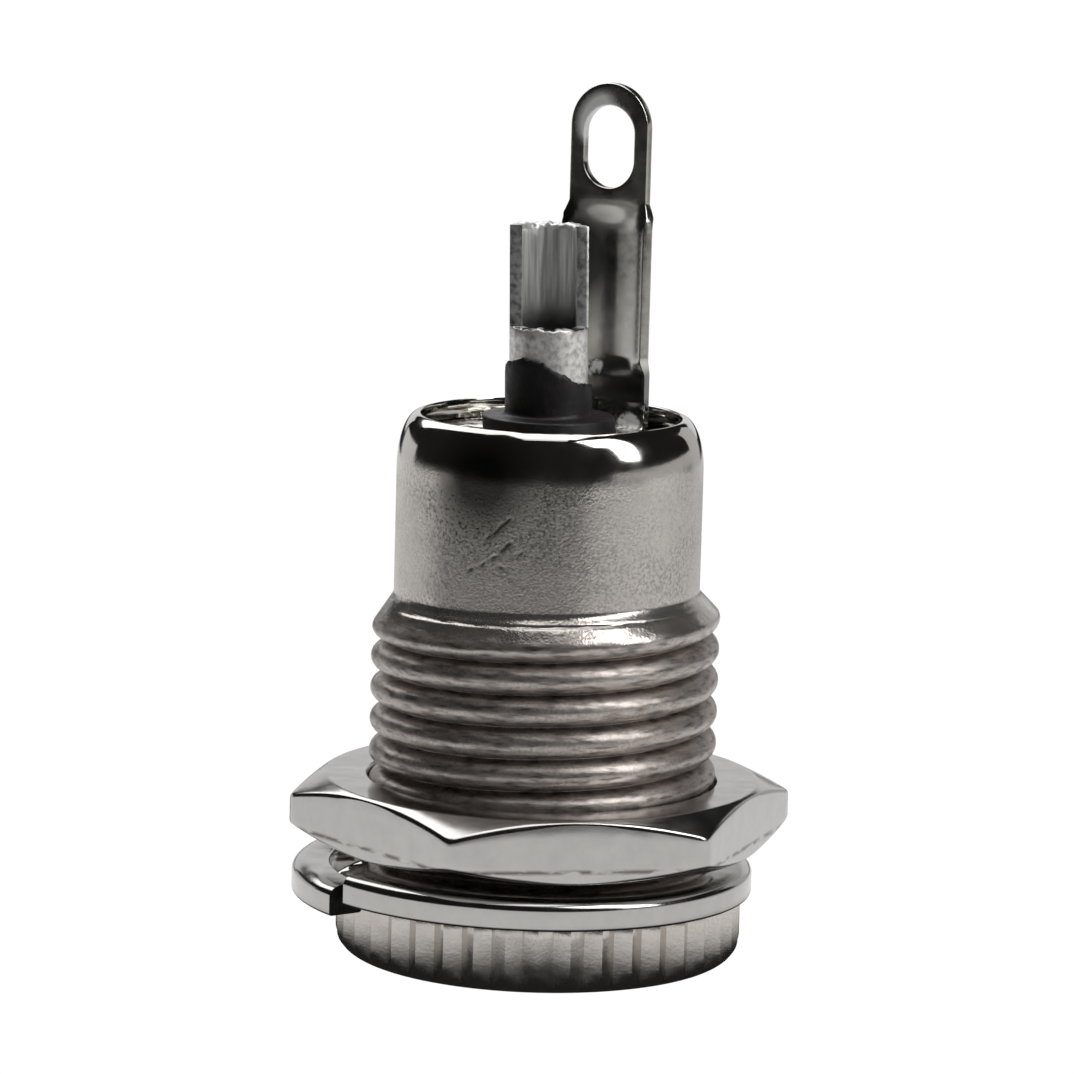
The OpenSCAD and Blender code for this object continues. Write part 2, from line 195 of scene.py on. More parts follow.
def lean(z):
    """How far the tail and its collar lie out of true at a height."""
    return -TAIL_ASIDE * ease((z - SEAT_Z) / 0.5) - TAIL_LEAN * max(0, z - HUB_Z)


# ---------------------------------------- mesh helpers
def new_piece(name, verts, faces, nodes, sharp=40):
    """A smooth mesh from points in millimetres, which rides on the part and stands for CAD nodes."""
    mesh = bpy.data.meshes.new(name)
    mesh.from_pydata([tuple(c * MM for c in v) for v in verts], [], faces)
    work = bmesh.new()
    work.from_mesh(mesh)
    bmesh.ops.remove_doubles(work, verts=work.verts, dist=1e-7)
    bmesh.ops.recalc_face_normals(work, faces=work.faces)
    work.to_mesh(mesh)
    work.free()
    mesh.shade_smooth()
    mesh.set_sharp_from_angle(angle=math.radians(sharp))
    piece = bpy.data.objects.new(name, mesh)
    bpy.context.scene.collection.objects.link(piece)
    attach(piece, "root")
    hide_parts(*nodes)
    return piece


def loft(rings, closed_ring=True, closed_path=False):
    """Vertices and quads that join rings of equally many points."""
    n = len(rings[0])
    count = len(rings)
    verts = [p for ring in rings for p in ring]
    faces = []
    for i in range(count if closed_path else count - 1):
        a = i * n
        b = (i + 1) % count * n
        for j in range(n if closed_ring else n - 1):
            k = (j + 1) % n
            faces.append((a + j, a + k, b + k, b + j))
    return verts, faces


def join(*parts):
    """One list of vertices and one of faces from several."""
    verts, faces = [], []
    for v, f in parts:
        start = len(verts)
        verts += v
        faces += [tuple(i + start for i in face) for face in f]
    return verts, faces


def ease(t):
    t = min(1, max(0, t))
    return t * t * (3 - 2 * t)


def soft_min(a, b, k):
    """The smaller of two values, rounded over where they are within k of each other."""
    h = max(k - abs(a - b), 0) / k
    return min(a, b) - h * h * k / 4


def arc(cx, cy, r, a0, a1, steps):
    """Points of an arc, angles in degrees."""
    angles = [math.radians(a0 + (a1 - a0) * i / steps) for i in range(steps + 1)]
    return [(cx + r * math.cos(a), cy + r * math.sin(a)) for a in angles]


def polar(r, angle, z):
    return (r * math.cos(angle), r * math.sin(angle), z)


# ---------------------------------------- shell
COLUMNS = 240
THREAD_ROWS = 16
CONE_ROWS = 28
CONE_STEP = 0.03
BARREL_COLUMNS = 2 * COLUMNS
BARREL_ROWS = 58
DOME_ROWS = 24


def knurl_r(angle):
    """Radius of the V-shaped knurl."""
    phase = angle / TAU * KNURL_TEETH % 1
    return HEAD_R - KNURL_DEPTH * (1 - abs(2 * phase - 1))


def thread_profile():
    """Depth of the thread at equal steps of one pitch: round crests, and a narrow rounded root."""
    samples = 400
    root = 0.04
    raw = []
    for i in range(samples):
        u = abs((i + 0.5) / samples - 0.5) * PITCH
        w = min(1, (PITCH / 2 - u) / (PITCH / 2 - root))
        raw.append(THREAD_DEPTH * (1 - math.sqrt(1 - w * w)))
    reach = 10
    return [sum(raw[(i + j) % samples] for j in range(-reach, reach + 1)) / (2 * reach + 1)
            for i in range(samples)]


PROFILE = thread_profile()


def groove_depth(angle, z):
    """Depth of the thread at an angle and a height: 0 on the crest. It runs out below the end cone."""
    turns = (z - GROOVE_Z) / PITCH - (angle - GROOVE_START) / TAU + 0.5
    centre = z - (turns % 1 - 0.5) * PITCH
    i = turns % 1 * len(PROFILE) - 0.5
    low = math.floor(i)
    part = i - low
    a = PROFILE[low % len(PROFILE)]
    b = PROFILE[(low + 1) % len(PROFILE)]
    return (a + (b - a) * part) * (1 - ease((centre - THREAD_Z + END_CONE_H + RUNOUT_LEAD) / RUNOUT_H))


def neck_r(angle, z):
    """Radius of the neck: thread, end cone with a fine tool mark, and plain barrel."""
    start = ease((z - HEAD_H - 0.1) / 0.5)
    tilt = math.cos(angle)
    foot = THREAD_Z - 0.02 + FOOT_SLANT * tilt
    slope = (THREAD_R - BARREL_R) / (END_CONE_H * (1 - STEEPER * tilt))
    r = soft_min(THREAD_R - groove_depth(angle, z) * start, BARREL_R + (foot - z) * slope, CREST_ROUND)
    # The mark is only at the front, and fades out to both sides
    mark = ease((-math.sin(angle) - 0.3) / 0.3) * math.exp(-((z - foot + MARK_DROP) / MARK_W) ** 2)
    return -soft_min(-r, -BARREL_R, FOOT_ROUND) - MARK_DEPTH * mark


LOOSE_PITS = 60
# No pit reaches further than this from its middle
PIT_REACH = 1
# From this depth on, a pit looks dark
DARK_PIT = 0.01


def pits():
    """Small casting pits on the barrel: (angle, height, length, width, depth, slant)."""
    draw = random.Random(4)
    # The ones that the photo shows, with their angles in degrees
    seen = (
        (252.6, 14.24, 0.17, 0.07, 0.015, 0.62),
        (255, 14.42, 0.14, 0.055, 0.015, 0.6),
        (250.6, 14.04, 0.13, 0.05, 0.02, 0.7),
        (255, 13.66, 0.15, 0.07, 0.015, 0.65),
        (253, 13.48, 0.13, 0.06, 0.013, 0.5),
        (240.6, 12.81, 0.1, 0.055, 0.015, 0.6),
        (252.6, 12.94, 0.13, 0.05, 0.013, -0.2),
        (245.4, 13.0, 0.1, 0.045, 0.016, 0.7),
        (247.6, 13.86, 0.16, 0.05, 0.014, 0.7),
        (259.6, 13.4, 0.12, 0.045, 0.014, 0.7),
        (250, 13.25, 0.16, 0.05, 0.014, 0.4),
    )
    marks = [(math.radians(degrees), *rest) for degrees, *rest in seen]
    for _ in range(LOOSE_PITS):
        marks.append((draw.uniform(0, TAU), draw.uniform(THREAD_Z + 0.3, RIM_Z - 1.4),
                      draw.uniform(0.05, 0.1), draw.uniform(0.04, 0.06),
                      draw.uniform(0.002, 0.006), draw.uniform(-1, 1)))
    return marks


PITS = pits()


def pit_depth(angle, z):
    """How deep the pits are at an angle and a height of the barrel."""
    total = 0
    for at, height, length, width, depth, slant in PITS:
        dz = z - height
        if abs(dz) > PIT_REACH:
            continue
        dx = ((angle - at + PI) % TAU - PI) * BARREL_R
        if abs(dx) > PIT_REACH:
            continue
        along = dx * math.cos(slant) + dz * math.sin(slant)
        across = -dx * math.sin(slant) + dz * math.cos(slant)
        q = (along / length) ** 2 + (across / width) ** 2
        if q < 6:
            total += depth * math.exp(-q)
    return total


def shell_piece():
    """Head, thread, barrel and dome with its lip, in one closed mesh."""
    angles = [i * TAU / COLUMNS for i in range(COLUMNS)]

    def ring(r, z):
        return [polar(r, a, z) for a in angles]

    head = [ring(NOSE_R, FRONT_WALL), ring(NOSE_R, 0.1), ring(NOSE_R + 0.03, 0.03),
            ring(NOSE_R + 0.1, 0), ring(HEAD_R - HEAD_EDGE_R - 0.8, 0)]
    for r, z in arc(HEAD_R - HEAD_EDGE_R, HEAD_EDGE_R, HEAD_EDGE_R, -90, 0, 14):
        head.append([polar(min(r, knurl_r(a)), a, z) for a in angles])
    for z in (1.1, 1.5, 1.8, HEAD_H - 0.08):
        head.append([polar(knurl_r(a), a, z) for a in angles])
    head.append([polar(knurl_r(a) - 0.02, a, HEAD_H - 0.02) for a in angles])
    head.append([polar(knurl_r(a) - 0.08, a, HEAD_H) for a in angles])
    head += [ring(FLAT_R, HEAD_H), ring(THREAD_R, HEAD_H)]

    # The thread's rows climb with it: one strip a pitch tall winds up the neck, from root to root
    lowest = math.floor((HEAD_H - GROOVE_Z) / PITCH + GROOVE_START / TAU) - 1
    first = GROOVE_Z + (lowest - GROOVE_START / TAU) * PITCH
    shares = [0.5 - 0.5 * math.cos(PI * k / THREAD_ROWS) for k in range(THREAD_ROWS + 1)]
    strip_columns = math.ceil(((LEVEL_Z - first) / PITCH + 1) * COLUMNS)
    strip = []
    for i in range(strip_columns + 1):
        angle = i * TAU / COLUMNS
        rise = first + (angle / TAU - 1) * PITCH
        column = []
        for share in shares:
            z = min(LEVEL_Z, max(HEAD_H, rise + share * PITCH))
            column.append(polar(neck_r(angle % TAU, z), angle, z))
        strip.append(column)

    levels = [LEVEL_Z + CONE_STEP * i for i in range(CONE_ROWS)]
    cone = [[polar(neck_r(a, z), a, z) for a in angles] for z in levels]
    low = levels[-1]
    dome_z = RIM_Z - DOME_H
    angles = [i * TAU / BARREL_COLUMNS for i in range(BARREL_COLUMNS)]
    barrel = []
    for i in range(1, BARREL_ROWS + 1):
        z = low + (dome_z - low) * i / BARREL_ROWS
        barrel.append([polar(neck_r(a, z) - pit_depth(a, z), a, z) for a in angles])
    for i in range(1, DOME_ROWS + 1):
        t = math.radians(i * 90 / DOME_ROWS)
        inward = 0.06 + (BARREL_R - LIP_R - 0.06) * math.cos(t)
        barrel.append(ring(LIP_R + inward, dome_z + DOME_H * math.sin(t)))
    barrel += [ring(LIP_R + 0.015, RIM_Z - 0.02), ring(LIP_R, RIM_Z - 0.07),
               ring(LIP_R, SEAT_Z + 0.28), ring(LIP_R + 0.03, SEAT_Z + 0.22),
               ring(BORE_R, SEAT_Z), ring(BORE_R, FRONT_WALL), ring(NOSE_R, FRONT_WALL)]

    verts, faces = join(loft(head), loft(strip, closed_ring=False), loft(cone),
                        halved(cone[-1], barrel[0]), loft(barrel))
    piece = new_piece("shell_body", verts, drop_flat(verts, faces), ["shell"], sharp=36)
    wear_and_glint = piece.data.attributes.new("pit", "FLOAT", "POINT")
    for vertex in piece.data.vertices:
        x, y, z = vertex.co / MM
        if THREAD_Z < z < dome_z:
            wear_and_glint.data[vertex.index].value = min(1, pit_depth(math.atan2(y, x) % TAU, z) / DARK_PIT)
    return piece


def halved(coarse, fine):
    """Faces between a ring and one of twice as many points."""
    n = len(coarse)
    faces = []
    for i in range(n):
        k = (i + 1) % n
        a, b, c = n + 2 * i, n + 2 * i + 1, n + (2 * i + 2) % (2 * n)
        faces += [(i, b, a), (i, k, b), (k, c, b)]
    return coarse + fine, faces


def drop_flat(verts, faces):
    """The faces without those that have no area, and without repeated corners."""
    kept = []
    for face in faces:
        corners = []
        for i in face:
            key = tuple(round(c, 6) for c in verts[i])
            if key not in [c[0] for c in corners]:
                corners.append((key, i))
        if len(corners) >= 3:
            kept.append(tuple(i for _, i in corners))
    return kept


# ---------------------------------------- nut
def nut_side_r(angle):
    """Distance from the axis to the nut's side, with slightly rounded corners."""
    turn = (angle - NUT_TURN) % (PI / 3) - PI / 6
    near = math.cos(turn)
    far = math.cos(PI / 3 - abs(turn))
    h = max(NUT_CORNER - abs(near - far), 0) / NUT_CORNER
    return NUT_AF / 2 / (max(near, far) + h * h * NUT_CORNER / 4)


def bezier(a, b, c, t):
    """A point of the curve from a to c that bends at b."""
    return tuple((1 - t) ** 2 * p + 2 * t * (1 - t) * q + t * t * r for p, q, r in zip(a, b, c))


def nut_section(angle):
    """Upper half of the nut's section: (radius, height over its middle), from the hole outwards."""
    half = (NUT_Z1 - NUT_Z0) / 2
    side = nut_side_r(angle)
    tan = math.tan(NUT_CHAMFER)
    edge_z = half - (side - NUT_FACE_R) * tan
    bore = THREAD_R + SEAT_GAP
    points = [(bore, 0.0), (bore, half - 0.15), (bore + 0.01, half - 0.06), (bore + 0.06, half)]
    points += [(FLAT_R, half), (6.4, half), (NUT_FACE_R - 0.1, half)]
    before = (NUT_FACE_R - NUT_FACE_EDGE, half)
    after = (NUT_FACE_R + NUT_FACE_EDGE, half - NUT_FACE_EDGE * tan)
    points += [bezier(before, (NUT_FACE_R, half), after, t) for t in (0, 0.5, 1)]
    d = min(NUT_SIDE_EDGE, (side - NUT_FACE_R) * 0.45)
    points.append(((NUT_FACE_R + side) / 2, half - (side - NUT_FACE_R) / 2 * tan))
    inner = (side - d, edge_z + d * tan)
    points += [bezier(inner, (side, edge_z), (side, edge_z - d), t) for t in (0, 0.25, 0.5, 0.75, 1)]
    points.append((side, edge_z * 0.5))
    return points


def nut_piece():
    """The nut, with its sections on a full turn; its lower half mirrors the upper one."""
    middle = (NUT_Z0 + NUT_Z1) / 2
    rings = []
    for i in range(COLUMNS):
        angle = NUT_TURN + i * TAU / COLUMNS
        upper = nut_section(angle)
        lower = [(r, -z) for r, z in reversed(upper)][:-1]
        rings.append([polar(r, angle, middle + z) for r, z in upper + lower])
    verts, faces = loft(rings, closed_path=True)
    return new_piece("nut_body", verts, faces, ["hex_nut"], sharp=50)


# ---------------------------------------- washer
def washer_piece():
    """A split ring: one end is sprung up, and the other stands out and dips past the head's edge."""
    e, hole_e = WASHER_EDGE, WASHER_HOLE_EDGE
    wide, high = WASHER_ROUND
    section = (arc(WASHER_HOLE_R + e, e, e, 180, 270, 3) + arc(WASHER_R - e, e, e, 270, 360, 4)
               + [(WASHER_R - wide + wide * c, WASHER_T - high + high * d)
                  for c, d in arc(0, 0, 1, 0, 90, 12)]
               + arc(WASHER_HOLE_R + hole_e, WASHER_T - hole_e, hole_e, 90, 180, 4))
    half_slit = math.asin(SLIT_W / 2 / WASHER_R)
    steps = 220
    rings = []
    for i in range(steps + 1):
        t = i / steps
        angle = SLIT_ANGLE + half_slit + t * (TAU - 2 * half_slit)
        lift = WASHER_LIFT * (1 - ease(2.5 * t)) - WASHER_DIP * ease((t - 0.66) / 0.24)
        out = WASHER_OUT * ease((t - 0.7) / 0.18)
        ring = []
        for r, z in section:
            x, y, height = polar(r + out, angle, HEAD_H + z + lift)
            ring.append((x - WASHER_SHIFT, y, height))
        rings.append(ring)
    verts, faces = loft(rings)
    n = len(section)
    faces.append(tuple(range(n)))
    faces.append(tuple(range(steps * n, steps * n + n)))
    return new_piece("washer_body", verts, faces, ["lock_washer"], sharp=50)


# ---------------------------------------- lug terminal
RING_TOP = SEAT_Z - SEAT_GAP
BEND_Z = RING_TOP + BEND_R
INNER_X = LUG_X - SHEET_T / 2 - BEND_R
BEND_LEN = (BEND_R + SHEET_T / 2) * PI / 2
RELIEF = 0.1
RING_R = BORE_R - 2 * SEAT_GAP
SHOULDER_Z = RIM_Z + 6.0
EYE_Z = SHOULDER_Z + 0.4
TROUGH_Z = RIM_Z + 1.5
TROUGH_BLEND = 0.5
TROUGH_TOP = EYE_Z + 0.1
TOP_BLEND = 0.95
# Share of the trough's depth by which its edges stand towards the axis
TROUGH_SHIFT = 0.48
# Rounded edge of the stamped sheet, and distance between the points of its mesh
LUG_EDGE = 0.05
LUG_STEP = 0.12


def sheet_point(y, s, off):
    """Maps the flat blank to the bent part. s runs up the lug from its bend, and off is the distance
    from the sheet's middle towards the axis or upwards."""
    if s < -BEND_LEN or abs(y) > LUG_W / 2 + RELIEF / 2:
        x = INNER_X + s + BEND_LEN
        return (x, y, RING_TOP - SHEET_T / 2 + off)
    if s < 0:
        a = (s + BEND_LEN) / BEND_LEN * PI / 2
        r = BEND_R + SHEET_T / 2 - off
        return (INNER_X + r * math.sin(a), y, BEND_Z - r * math.cos(a))
    z = BEND_Z + s
    roll = ease((z - TROUGH_Z + TROUGH_BLEND) / TROUGH_BLEND) * ease((TROUGH_TOP - z) / TOP_BLEND)
    sag = TROUGH_R - math.sqrt(TROUGH_R ** 2 - (LUG_W / 2) ** 2)
    a = math.asin(max(-1, min(1, y / TROUGH_R)))
    x = LUG_X + roll * (sag * TROUGH_SHIFT - TROUGH_R * (1 - math.cos(a)))
    return (x - off * math.cos(roll * a), y - off * math.sin(roll * a), z)


def blank_outline():
    """Outline of the flat blank, counter-clockwise, as (y, s): ring, strip and eye in one."""
    centre = -BEND_LEN - INNER_X
    side = LUG_W / 2 + RELIEF
    cut_shade = -BEND_LEN
    start = math.degrees(math.asin(side / RING_R))
    ring_arc = arc(0, centre, RING_R, 90 - start, -270 + start, 150)
    shoulder = SHOULDER_Z - BEND_Z
    eye = EYE_Z - BEND_Z
    top = LUG_Z - BEND_Z - EYE_R
    edge = side - RELIEF
    narrower = EYE_R - LUG_W / 2
    right = [(edge, cut_shade)] + [(edge, cut_shade + (shoulder - cut_shade) * i / 60) for i in range(1, 61)]
    right += [(edge + narrower * i / 5, shoulder + (eye - shoulder) * i / 5) for i in range(1, 6)]
    right += [(EYE_R, eye + (top - eye) * i / 22) for i in range(1, 22)]
    head = arc(0, top, EYE_R, 0, 180, 44)
    left = [(-y, s) for y, s in reversed(right)]
    # ring_arc runs clockwise from the right of the notch, so it is walked backwards
    return right + head + left + [(-side, cut_shade)] + list(reversed(ring_arc)) + [(side, cut_shade)]


def hole_outlines():
    """The slot in the eye and the hole for the hub, in the flat blank."""
    slot_top = LUG_Z - BEND_Z - SLOT_EDGE - SLOT_R
    slot_low = slot_top - SLOT_LEN + 2 * SLOT_R
    slot = arc(0, slot_top, SLOT_R, 0, 180, 28) + arc(0, slot_low, SLOT_R, 180, 360, 28)
    hub = arc(0, -BEND_LEN - INNER_X, HUB_R + SEAT_GAP, 0, 360, 72)[:-1]
    return [slot, hub]


def inset(outline, d):
    """The outline moved inwards by d, on the left of its direction."""
    n = len(outline)
    moved = []
    for i in range(n):
        ax, ay = outline[i - 1]
        bx, by = outline[i]
        cx, cy = outline[(i + 1) % n]
        ux, uy = bx - ax, by - ay
        vx, vy = cx - bx, cy - by
        lu, lv = math.hypot(ux, uy), math.hypot(vx, vy)
        if lu < 1e-9 or lv < 1e-9:
            moved.append((bx, by))
            continue
        nx, ny = -uy / lu - vy / lv, ux / lu + vx / lv
        length = math.hypot(nx, ny)
        cosine = length / 2
        scale = d / max(cosine, 0.5) / length
        moved.append((bx + nx * scale, by + ny * scale))
    return moved


def inside(point, outline):
    """Whether a closed outline holds a point."""
    x, y = point
    hit = False
    for i in range(len(outline)):
        ax, ay = outline[i - 1]
        bx, by = outline[i]
        if (ay > y) != (by > y) and x < (bx - ax) * (y - ay) / (by - ay) + ax:
            hit = not hit
    return hit


def distance_to(point, outline):
    return min(math.hypot(point[0] - x, point[1] - y) for x, y in outline)


def clean_outline(outline):
    """The outline without points that repeat the one before."""
    same = 1e-5
    kept = []
    for p in outline:
        if not kept or math.hypot(p[0] - kept[-1][0], p[1] - kept[-1][1]) > same:
            kept.append(p)
    if math.hypot(kept[0][0] - kept[-1][0], kept[0][1] - kept[-1][1]) < same:
        kept.pop()
    return kept


def lug_piece():
    """The lug: a flat blank, filled with an even mesh, bent to shape and given rounded edges."""
    outer = clean_outline(blank_outline())
    holes = [clean_outline(h) for h in hole_outlines()]
    loops = [outer] + [list(reversed(h)) for h in holes]
    inner = [inset(loop, LUG_EDGE) for loop in loops]

    def on_sheet(y, s):
        return inside((y, s), inner[0]) and not any(inside((y, s), h) for h in inner[1:])

    points, edges = [], []
    for loop in inner:
        start = len(points)
        points += loop
        edges += [(start + i, start + (i + 1) % len(loop)) for i in range(len(loop))]
    border = list(points)
    low_s = min(s for y, s in outer)
    high_s = max(s for y, s in outer)
    rows = int((high_s - low_s) / LUG_STEP) + 1
    columns = int(2 * RING_R / LUG_STEP) + 1
    for i in range(rows):
        s = low_s + i * LUG_STEP
        for j in range(columns):
            y = -RING_R + (j + (i % 2) / 2) * LUG_STEP
            if on_sheet(y, s) and distance_to((y, s), border) > LUG_STEP * 0.6:
                points.append((y, s))
    cdt = delaunay_2d_cdt([Vector(p) for p in points], edges, [], 0, 1e-6)
    flat_points = [(p.x, p.y) for p in cdt[0]]
    triangles = []
    for face in cdt[2]:
        y = sum(flat_points[i][0] for i in face) / len(face)
        s = sum(flat_points[i][1] for i in face) / len(face)
        if on_sheet(y, s):
            triangles.append(tuple(face))

    half = SHEET_T / 2
    front = [sheet_point(y, s, half) for y, s in flat_points]
    back = [sheet_point(y, s, -half) for y, s in flat_points]
    parts = [(front, triangles), (back, [tuple(reversed(t)) for t in triangles])]
    for loop in loops:
        # Quarter turns round the upper and the lower edge of the sheet
        rows = []
        for i in range(5):
            a = i / 4 * PI / 2
            rows.append((LUG_EDGE * (1 - math.sin(a)), half - LUG_EDGE * (1 - math.cos(a))))
        for i in range(4):
            a = i / 3 * PI / 2
            rows.append((LUG_EDGE * (1 - math.cos(a)), -half + LUG_EDGE * (1 - math.sin(a))))
        parts.append(loft([[sheet_point(y, s, off) for y, s in inset(loop, d)] for d, off in rows]))
    verts, faces = join(*parts)
    cos, sin = math.cos(LUG_ANGLE), math.sin(LUG_ANGLE)
    turned = [(x * cos - y * sin, x * sin + y * cos, z) for x, y, z in verts]
    return new_piece("lug_body", turned, faces, ["lug_terminal"], sharp=60)


# ---------------------------------------- centre pin
def pin_piece():
    """Contact pin and tail in one mesh, with the front half of the solder cup cut away."""
    n = 96
    cut_z = TAIL_Z - CUP_OPEN
    low_z = cut_z - 0.3
    cup_z = TAIL_Z - CUP_DEPTH
    # Rounded edges of the cut ends. The front half's outer edge and the right cut face are worn more
    e = 0.035
    front_e = 0.08
    right_e = 0.07

    def point(r, j, z):
        return polar(r, j * TAU / n, z)

    def torn(j):
        """Small waves of the cut ends, which fade out where the two halves meet."""
        a = j * TAU / n
        return math.sin(a) * (0.03 * math.sin(8 * a + 1) + 0.02 * math.sin(21 * a))

    flange_z = BUSH_Z - FLANGE_T
    outline = [(0.02, PIN_Z)] + arc(0, PIN_Z + PIN_R, PIN_R, -85, 0, 10) + [
        (PIN_R, CAVITY_Z), (GRIP_R, CAVITY_Z), (GRIP_R, flange_z), (FLANGE_R, flange_z),
        (FLANGE_R, BUSH_Z)]
    outline += [(TAIL_R, z) for z in (BUSH_Z, 15.0, 17.0, 18.5, low_z)]
    parts = [loft([[point(r, j, z) for j in range(n)] for r, z in outline])]

    # Back half: j from 0 to n/2. Front half: the rest, lower
    profile_back = [(TAIL_R, low_z), (TAIL_R, cut_z), (TAIL_R, TAIL_Z - 0.8), (TAIL_R, TAIL_Z - e),
                    (TAIL_R - e * 0.3, TAIL_Z - e * 0.3), (TAIL_R - e, TAIL_Z), (CUP_R + 0.1, TAIL_Z),
                    (CUP_R + 0.03, TAIL_Z - 0.06), (CUP_R, TAIL_Z - 0.16), (CUP_R, TAIL_Z - 0.8),
                    (CUP_R, cut_z), (CUP_R, low_z)]
    profile_front = [(TAIL_R, low_z), (TAIL_R, cut_z - front_e),
                     (TAIL_R - front_e * 0.3, cut_z - front_e * 0.3), (TAIL_R - front_e, cut_z),
                     (CUP_R + e, cut_z), (CUP_R + e * 0.3, cut_z - e * 0.3), (CUP_R, cut_z - e),
                     (CUP_R, low_z)]
    back = [[point(r, j, z + (torn(j) if z > TAIL_Z - 0.3 else 0)) for r, z in profile_back]
            for j in range(n // 2 + 1)]
    front = [[point(r, j, z + (torn(j) if z > cut_z - 0.2 else 0)) for r, z in profile_front]
             for j in range(n // 2, n + 1)]
    parts.append(loft(back, closed_ring=False))
    parts.append(loft(front, closed_ring=False))
    cup = [[point(r, j, z) for j in range(n)]
           for r, z in ((CUP_R, low_z), (CUP_R, cup_z + 0.3), (CUP_R - 0.05, cup_z + 0.05),
                        (CUP_R - 0.2, cup_z), (0.02, cup_z - 0.25))]
    parts.append(loft(cup))
    # The two upright cut faces, with their corners eased
    for side, corner in ((1, right_e), (-1, e)):
        heights = [cut_z - e, cut_z + 0.02, (cut_z + TAIL_Z) / 2, TAIL_Z - 0.05, TAIL_Z]
        radii = [TAIL_R, TAIL_R - corner * 0.3, TAIL_R - corner, (TAIL_R + CUP_R) / 2,
                 CUP_R + e, CUP_R + e * 0.3, CUP_R]
        proud = [0, -corner * 0.5, -corner * 0.7, -corner * 0.7, -corner * 0.7, -e * 0.5, 0]
        rows = []
        for z in heights:
            drop = 1 if z < TAIL_Z else 0
            rows.append([(side * r, d * drop, z) for r, d in zip(radii, proud)])
        parts.append(loft(rows, closed_ring=False))
    verts, faces = join(*parts)
    verts = [(x + lean(z), y, z) for x, y, z in verts]
    return new_piece("pin_body", verts, drop_flat(verts, faces), ["centre_pin"], sharp=45)


# ---------------------------------------- rear bush
# Waves of the collar's torn end: (height, times round, shift in degrees), and its peak
TORN_WAVES = ((0.4, 1, -215), (0.05, 5, 40), (0.03, 11, 0), (0.02, 23, 70), (0.015, 37, 10))
PEAK_H = 0.3
PEAK_SHIFT = -246
PEAK_SHARPNESS = 8


def ragged_z(angle):
    """Height of the collar's torn end."""
    degrees = math.degrees(angle)

    def wave(times, shift):
        return math.cos(math.radians(times * degrees + shift))

    z = HUB_Z + COLLAR_H + sum(size * wave(times, shift) for size, times, shift in TORN_WAVES)
    return z + PEAK_H * max(0, wave(1, PEAK_SHIFT)) ** PEAK_SHARPNESS


def bush_piece():
    """Disc and hub, with the collar that grips the tail and ends in a torn edge."""
    n = 180
    draw = random.Random(7)
    rough = [draw.uniform(-1, 1) for _ in range(n)]
    angles = [i * TAU / n for i in range(n)]
    ring_z = RING_TOP - SHEET_T
    foot = COLLAR_FOOT
    profile = [(TAIL_R + SEAT_GAP, BUSH_Z), (BORE_R - SEAT_GAP, BUSH_Z), (BORE_R - SEAT_GAP, ring_z),
               (HUB_R, ring_z), (HUB_R, HUB_Z - 0.06), (HUB_R - 0.02, HUB_Z - 0.02),
               (HUB_R - 0.07, HUB_Z)]
    profile += [(COLLAR_R + foot - foot * math.sin(t * PI / 2),
                 HUB_Z + foot - foot * math.cos(t * PI / 2))
                for t in (0, 0.25, 0.5, 0.75, 1)]
    rings = [[polar(r, a, z) for a in angles] for r, z in profile]
    for share, r in ((0.5, COLLAR_R), (0.85, COLLAR_R), (0.96, COLLAR_R - 0.01), (1, COLLAR_R - 0.05),
                     (0.98, TAIL_R + 0.03), (0.8, TAIL_R + 0.005), (0.2, TAIL_R + 0.005)):
        ring = []
        for i, a in enumerate(angles):
            top = ragged_z(a) + 0.015 * rough[i] - HUB_Z - foot
            ring.append(polar(r, a, HUB_Z + foot + top * share))
        rings.append(ring)
    verts, faces = loft(rings)
    verts = [(x + lean(z), y, z) for x, y, z in verts]
    return new_piece("bush_body", verts, faces, ["rear_bush"], sharp=60)


# ---------------------------------------- materials
WHITE = (1, 1, 1)
SHELL_PLATE = (0.665, 0.64, 0.597)
SHELL_BROWN = (0.48, 0.425, 0.393)
SHELL_DARK = (0.07, 0.062, 0.058)
NUT_PLATE = (0.52, 0.505, 0.49)
SCUFF = (0.1, 0.08, 0.07)
LUG_BRIGHT = (0.62, 0.61, 0.565)
# Painted dark reflection of the black hub, for the lug's foot
LUG_FOOT_REFLECTION = (0.28, 0.28, 0.27)
# Painted shade on the lug's trough
LUG_PAINTED_SHADE = (0.08, 0.08, 0.08)
BRONZE = (0.72, 0.52, 0.28)

# Stain and painted dark reflection on the barrel; painted shade and painted highlights on the lug:
# (place, near, far).
# Each has its full strength up to near, and none past far
BARREL_STAIN = (polar(BARREL_R, math.radians(248), 15), 0.4, 3.4)
# Painted dark reflection: the dome's black reflection, carried down over the barrel's top
BARREL_PAINTED_REFLECTION = (polar(BARREL_R, math.radians(244), 15.5), 0.7, 2.1)
# Painted shade on the left of the trough, below the eye
LUG_SHADE = ((0.5, 3.2, EYE_Z - 1.8), 1.0, 2.7)
# Painted highlight: a white band on the eye's rim, on its upper left
EYE_RIM = ((1.65, 2.86, LUG_Z - EYE_R), 1.0, 1.28)
EYE_GLINT_SIDE = ((1.05, 3.2, LUG_Z - EYE_R + 0.4), 0.75, 1.15)
# Painted highlights: white patches on the ring in the opening and at the trough's foot
PAINTED_GLINTS = (((-2.35, 2.6, RING_TOP), 0.45, 0.6), ((2.5, 2.3, RING_TOP + 0.1), 0.4, 0.5),
             ((1.37, 3.02, TROUGH_Z - 0.4), 0.28, 0.36))


def material(name, colour, metallic, roughness):
    """A new material with its node tree and its shader."""
    mat = bpy.data.materials.new(name)
    mat.use_nodes = True
    tree = mat.node_tree
    shader = tree.nodes["Principled BSDF"]
    shader.inputs["Base Color"].default_value = (*colour, 1)
    shader.inputs["Metallic"].default_value = metallic
    shader.inputs["Roughness"].default_value = roughness
    return mat, tree, shader


